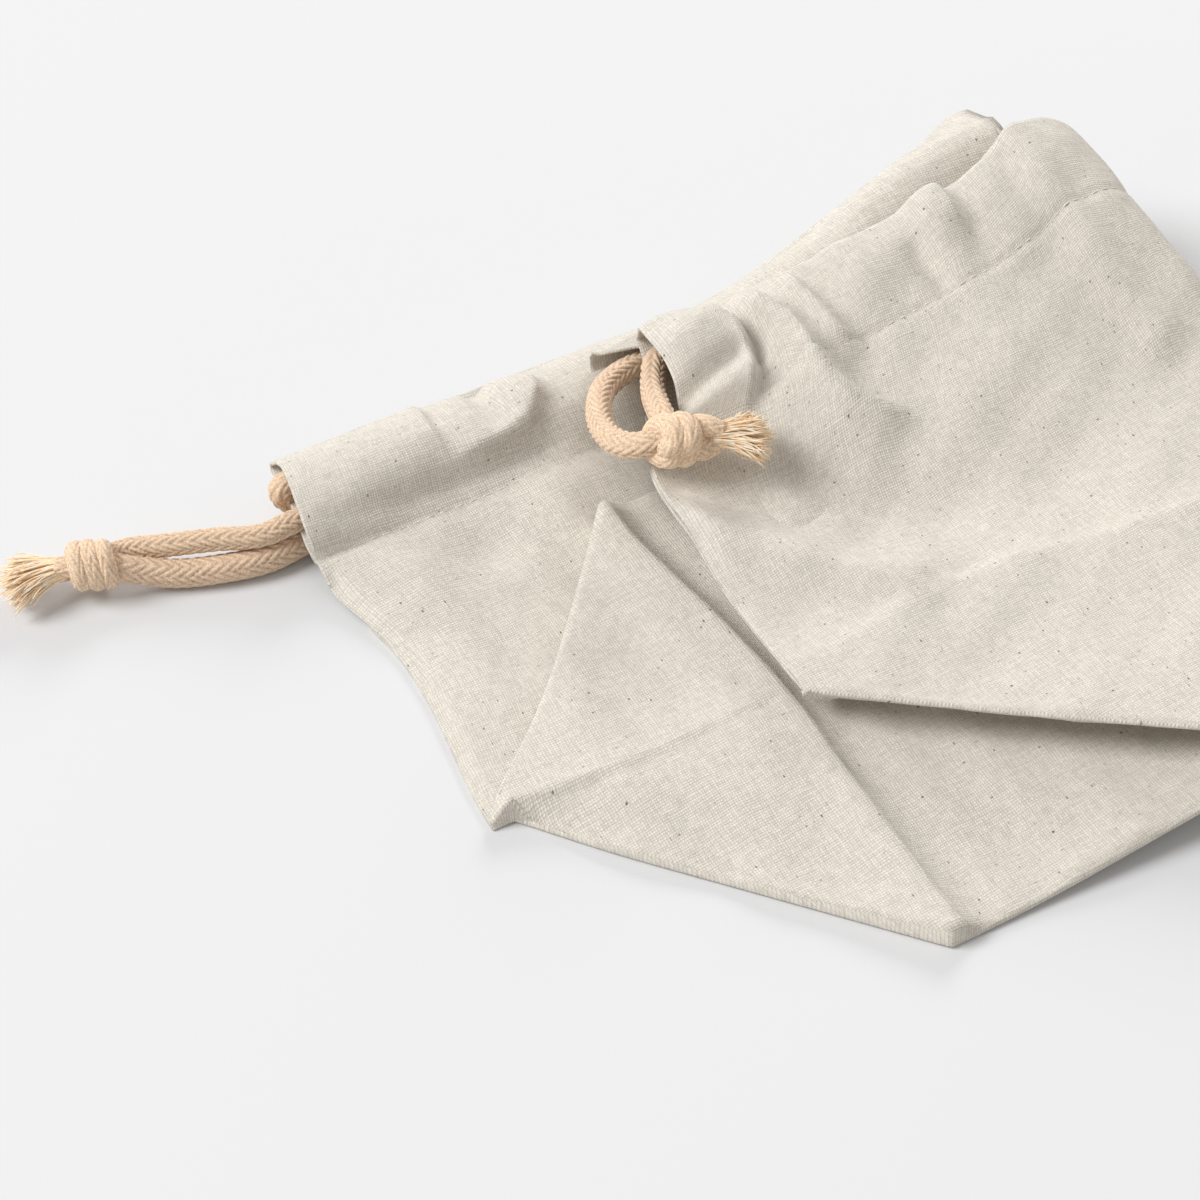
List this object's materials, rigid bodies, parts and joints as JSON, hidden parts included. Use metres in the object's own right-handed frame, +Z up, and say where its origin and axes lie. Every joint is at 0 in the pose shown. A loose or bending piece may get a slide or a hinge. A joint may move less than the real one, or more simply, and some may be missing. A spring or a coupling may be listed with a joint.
{
  "type": "drawstring lunch bag",
  "caption": "Boxed linen drawstring lunch bag folded flat and doubled over, with braided cords knotted and frayed at the side slits.",
  "frame": {"origin": "middle of the cloth body's footprint, on the surface that it lies on", "axes": "+X across the bag from its left side seam to the fold, +Y up the bag towards its mouth, +Z up"},
  "size_m": [0.2323, 0.1526, 0.0403],
  "materials": {
    "linen": "natural greige linen, plain weave",
    "cord": "peach-beige braided cotton",
    "tuft": "frayed cotton"
  },
  "bodies": {
    "root": {"bag_body": "linen", "drawcord_left": "cord", "drawcord_right": "cord", "knot_left": "tuft", "knot_right": "tuft"}
  },
  "joints": []
}
